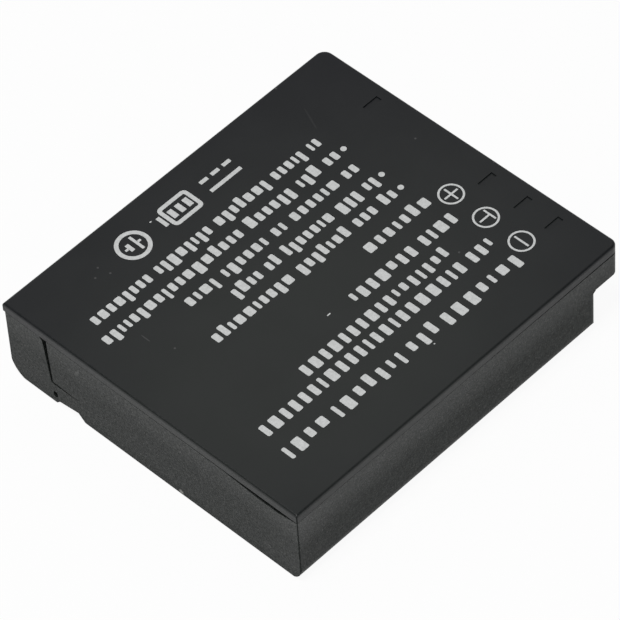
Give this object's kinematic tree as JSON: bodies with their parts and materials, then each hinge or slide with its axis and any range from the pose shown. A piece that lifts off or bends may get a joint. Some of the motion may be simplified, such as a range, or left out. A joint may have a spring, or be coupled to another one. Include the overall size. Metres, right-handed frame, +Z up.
{
  "type": "camera battery",
  "caption": "Flat rectangular rechargeable battery for a compact camera, with a printed cover on a round-edged tub and a stepped end whose contacts sit behind small windows.",
  "frame": {"origin": "middle of the underside, at the centre of the overall box", "axes": "+X from the plain end to the contact end, +Y across to the side away from the contacts, +Z up through the printed cover"},
  "size_m": [0.0416, 0.0364, 0.0093],
  "materials": {
    "case_plastic": "fine spark-eroded grain",
    "cover_plastic": "smooth satin with pale print",
    "can_aluminium": "drawn",
    "gasket_plastic": "moulded",
    "nickel_strip": "rolled",
    "insulating_fibre": "pressed fibre",
    "chip_resin": "moulded resin",
    "board_laminate": "solder-resist lacquer",
    "capacitor_ceramic": "fired ceramic",
    "contact_gold": "gold plated",
    "adhesive_tape": "tacky film",
    "soft_foam": "closed-cell foam"
  },
  "bodies": {
    "root": {"case_tub": "case_plastic", "case_cover": "cover_plastic", "cell_can": "can_aluminium", "terminal_gasket": "gasket_plastic", "cell_terminal": "nickel_strip", "fill_plug": "can_aluminium", "lid_insulator": "insulating_fibre", "thermal_fuse": "chip_resin", "negative_link": "nickel_strip", "negative_lead": "nickel_strip", "positive_lead": "nickel_strip", "protection_board": "board_laminate", "protection_chip": "chip_resin", "switch_transistor": "chip_resin", "board_capacitors": "capacitor_ceramic", "board_resistors": "chip_resin", "thermistor": "capacitor_ceramic", "contact_positive": "contact_gold", "contact_sense": "contact_gold", "contact_negative": "contact_gold", "cell_tape": "adhesive_tape", "foam_pad": "soft_foam"}
  },
  "joints": []
}
